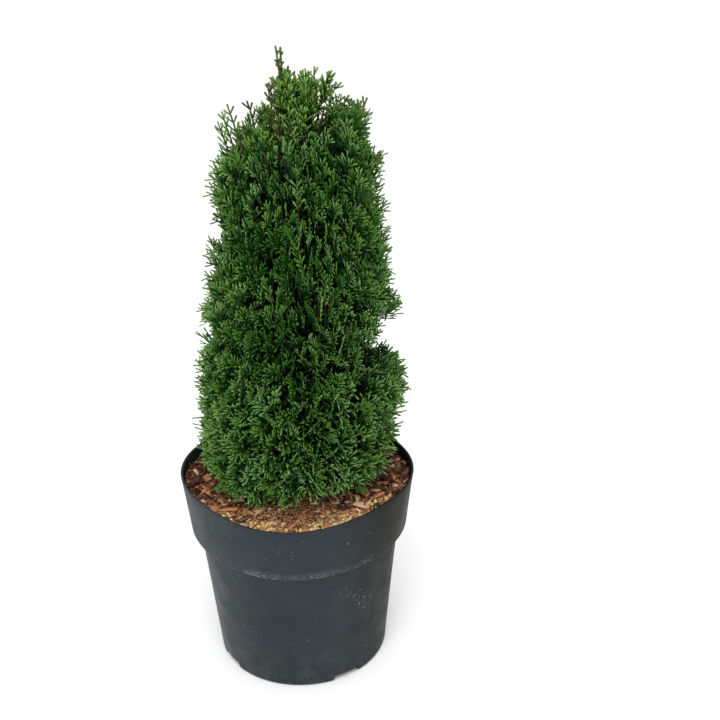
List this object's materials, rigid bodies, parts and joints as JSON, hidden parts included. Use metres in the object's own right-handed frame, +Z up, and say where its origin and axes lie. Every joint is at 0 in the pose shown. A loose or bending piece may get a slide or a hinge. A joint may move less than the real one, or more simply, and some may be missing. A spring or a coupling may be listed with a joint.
{
  "type": "potted arborvitae",
  "caption": "Young conical evergreen with dense upright sprays of scale leaves, growing in a round plastic nursery pot topped with bark mulch.",
  "frame": {"origin": "centre of the pot's flat underside, on the ground", "axes": "+Z up along the trunk; +X to the right and -Y towards the viewer of the picture"},
  "size_m": [0.2062, 0.2062, 0.561],
  "materials": {
    "pot": "satin, lightly scuffed",
    "soil": "loose bark mulch over potting soil",
    "bark": "stringy reddish-brown bark",
    "foliage": "scale leaves with a slight waxy gloss"
  },
  "bodies": {
    "root": {"bough_crown_1": "bark", "bough_crown_2": "bark", "bough_crown_3": "bark", "bough_crown_4": "bark", "bough_lower_1": "bark", "bough_lower_2": "bark", "bough_lower_3": "bark", "bough_lower_4": "bark", "bough_lower_5": "bark", "bough_middle_1": "bark", "bough_middle_2": "bark", "bough_middle_3": "bark", "bough_middle_4": "bark", "bough_middle_5": "bark", "bough_skirt_1": "bark", "bough_skirt_2": "bark", "bough_skirt_3": "bark", "bough_skirt_4": "bark", "bough_skirt_5": "bark", "bough_upper_1": "bark", "bough_upper_2": "bark", "bough_upper_3": "bark", "bough_upper_4": "bark", "foliage_crown_1": "foliage", "foliage_crown_2": "foliage", "foliage_crown_3": "foliage", "foliage_crown_4": "foliage", "foliage_leader": "foliage", "foliage_lower_1": "foliage", "foliage_lower_2": "foliage", "foliage_lower_3": "foliage", "foliage_lower_4": "foliage", "foliage_lower_5": "foliage", "foliage_middle_1": "foliage", "foliage_middle_2": "foliage", "foliage_middle_3": "foliage", "foliage_middle_4": "foliage", "foliage_middle_5": "foliage", "foliage_skirt_1": "foliage", "foliage_skirt_2": "foliage", "foliage_skirt_3": "foliage", "foliage_skirt_4": "foliage", "foliage_skirt_5": "foliage", "foliage_upper_1": "foliage", "foliage_upper_2": "foliage", "foliage_upper_3": "foliage", "foliage_upper_4": "foliage", "pot": "pot", "soil": "soil", "trunk": "bark"}
  },
  "joints": []
}
